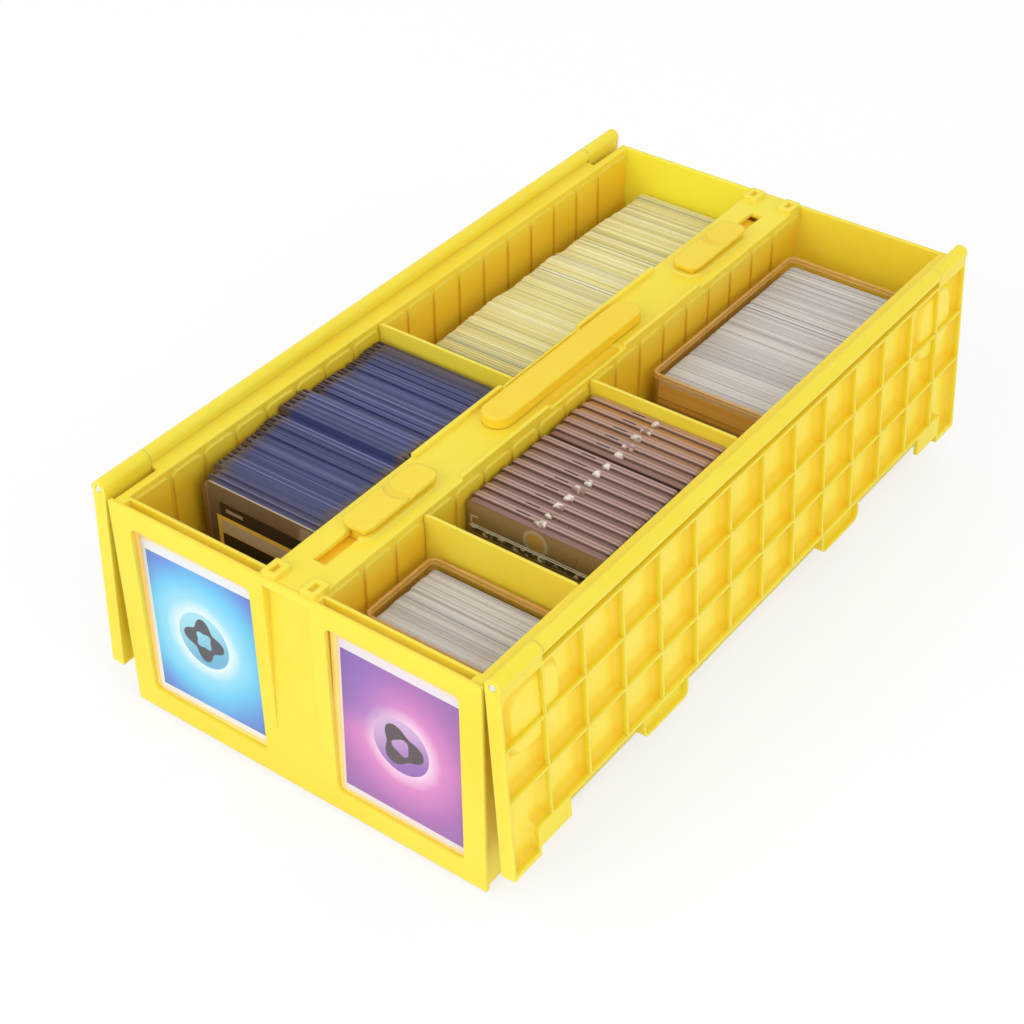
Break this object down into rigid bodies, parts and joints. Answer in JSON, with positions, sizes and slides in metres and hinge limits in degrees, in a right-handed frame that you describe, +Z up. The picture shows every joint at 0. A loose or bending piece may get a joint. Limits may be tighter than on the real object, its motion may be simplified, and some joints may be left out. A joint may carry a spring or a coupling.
{
  "type": "card storage box",
  "caption": "Long plastic card storage box with side-by-side trays, hinged ribbed lids hanging open, sliding latches, a pull-up handle, dividers, front display windows and stored cards.",
  "frame": {"origin": "middle of the box on the surface it stands on", "axes": "+X to the right along the front, +Y to the rear, +Z up; the windows face -Y"},
  "size_m": [0.2208, 0.375, 0.1198],
  "materials": {
    "yellow_body": "satin moulded plastic",
    "yellow_lid": "satin moulded plastic",
    "yellow_latch": "satin moulded plastic",
    "yellow_handle": "satin moulded plastic",
    "yellow_divider": "satin moulded plastic",
    "steel_pin": "bright rod",
    "clear_plastic": "clear plastic",
    "blue_card": "printed card",
    "purple_card": "printed card",
    "rigid_holder": "clear rigid plastic over dark cards",
    "cream_card": "card edges",
    "clear_case": "clear plastic",
    "grey_card": "card edges",
    "magnetic_holder": "clear rigid plastic",
    "magnet_metal": "bright disc"
  },
  "bodies": {
    "box": {"body_shell": "yellow_body", "hinge_pin_left": "steel_pin", "hinge_pin_right": "steel_pin"},
    "left_lid": {"lid_left": "yellow_lid"},
    "right_lid": {"lid_right": "yellow_lid"},
    "front_latch": {"latch_front": "yellow_latch"},
    "rear_latch": {"latch_rear": "yellow_latch"},
    "handle": {"carry_handle": "yellow_handle"},
    "left_divider": {"divider_left": "yellow_divider"},
    "right_front_divider": {"divider_right_front": "yellow_divider"},
    "right_rear_divider": {"divider_right_rear": "yellow_divider"},
    "left_display": {"display_holder_left": "clear_plastic", "display_card_left": "blue_card"},
    "right_display": {"display_holder_right": "clear_plastic", "display_card_right": "purple_card"},
    "holder_stack": {"rigid_holders": "rigid_holder"},
    "card_stack": {"loose_cards": "cream_card"},
    "front_case": {"card_case_front": "clear_case", "card_pack_front": "grey_card"},
    "rear_case": {"card_case_rear": "clear_case", "card_pack_rear": "grey_card"},
    "magnetic_stack": {"magnetic_holders": "magnetic_holder", "magnet_discs": "magnet_metal"},
    "sheet": {"clear_sheet": "clear_plastic"}
  },
  "joints": [
    {"name": "left_lid_hinge", "type": "hinge", "parent": "box", "child": "left_lid", "pos_m": [-0.1009, 0, 0.1162], "axis": [0, 1, 0], "range_deg": [0, 266.25]},
    {"name": "right_lid_hinge", "type": "hinge", "parent": "box", "child": "right_lid", "pos_m": [0.1009, 0, 0.1162], "axis": [0, -1, 0], "range_deg": [0, 266.25]},
    {"name": "front_latch_slide", "type": "slide", "parent": "box", "child": "front_latch", "axis": [0, -1, 0], "range_m": [0, 0.02]},
    {"name": "rear_latch_slide", "type": "slide", "parent": "box", "child": "rear_latch", "axis": [0, 1, 0], "range_m": [0, 0.02]},
    {"name": "handle_pull", "type": "slide", "parent": "box", "child": "handle", "axis": [0, 0, 1], "range_m": [0, 0.0258]},
    {"name": "left_divider_lift", "type": "slide", "parent": "box", "child": "left_divider", "axis": [0, 0, 1], "range_m": [0, 0.13]},
    {"name": "right_front_divider_lift", "type": "slide", "parent": "box", "child": "right_front_divider", "axis": [0, 0, 1], "range_m": [0, 0.13]},
    {"name": "right_rear_divider_lift", "type": "slide", "parent": "box", "child": "right_rear_divider", "axis": [0, 0, 1], "range_m": [0, 0.13]},
    {"name": "left_display_lift", "type": "slide", "parent": "box", "child": "left_display", "axis": [0, 0.0244, 0.9997], "range_m": [0, 0.13]},
    {"name": "right_display_lift", "type": "slide", "parent": "box", "child": "right_display", "axis": [0, 0.0244, 0.9997], "range_m": [0, 0.13]},
    {"name": "holder_stack_lift", "type": "slide", "parent": "box", "child": "holder_stack", "axis": [0, 0, 1], "range_m": [0, 0.13]},
    {"name": "card_stack_lift", "type": "slide", "parent": "box", "child": "card_stack", "axis": [0, 0, 1], "range_m": [0, 0.13]},
    {"name": "front_case_lift", "type": "slide", "parent": "box", "child": "front_case", "axis": [0, 0, 1], "range_m": [0, 0.13]},
    {"name": "rear_case_lift", "type": "slide", "parent": "box", "child": "rear_case", "axis": [0, 0, 1], "range_m": [0, 0.13]},
    {"name": "magnetic_stack_lift", "type": "slide", "parent": "box", "child": "magnetic_stack", "axis": [0, 0, 1], "range_m": [0, 0.13]},
    {"name": "sheet_lift", "type": "slide", "parent": "box", "child": "sheet", "axis": [0, 0, 1], "range_m": [0, 0.13]}
  ]
}
